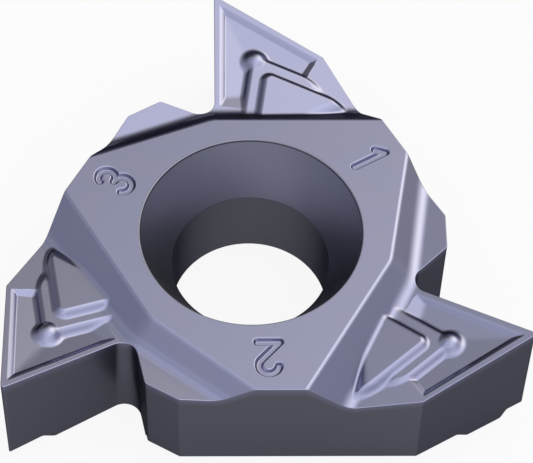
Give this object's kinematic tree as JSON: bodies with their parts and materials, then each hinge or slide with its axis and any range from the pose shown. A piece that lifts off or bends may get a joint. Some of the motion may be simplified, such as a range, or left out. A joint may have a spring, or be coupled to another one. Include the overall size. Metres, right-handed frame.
{
  "type": "threading insert",
  "caption": "Flat indexable cutting plate with a 60 degree threading tooth at each corner, a pressed chip breaker on each tooth and a countersunk clamp-screw hole.",
  "frame": {"origin": "on the screw hole's axis, at the seat face", "axes": "+Z along the screw hole, from the seat to the cutting side; -Y square to one long side, so that one tooth points towards +Y"},
  "size_m": [0.0134, 0.0125, 0.0037],
  "materials": {
    "coated_carbide": "cemented carbide with a thin violet-grey hard coating, satin"
  },
  "bodies": {
    "root": {"insert": "coated_carbide"}
  },
  "joints": []
}
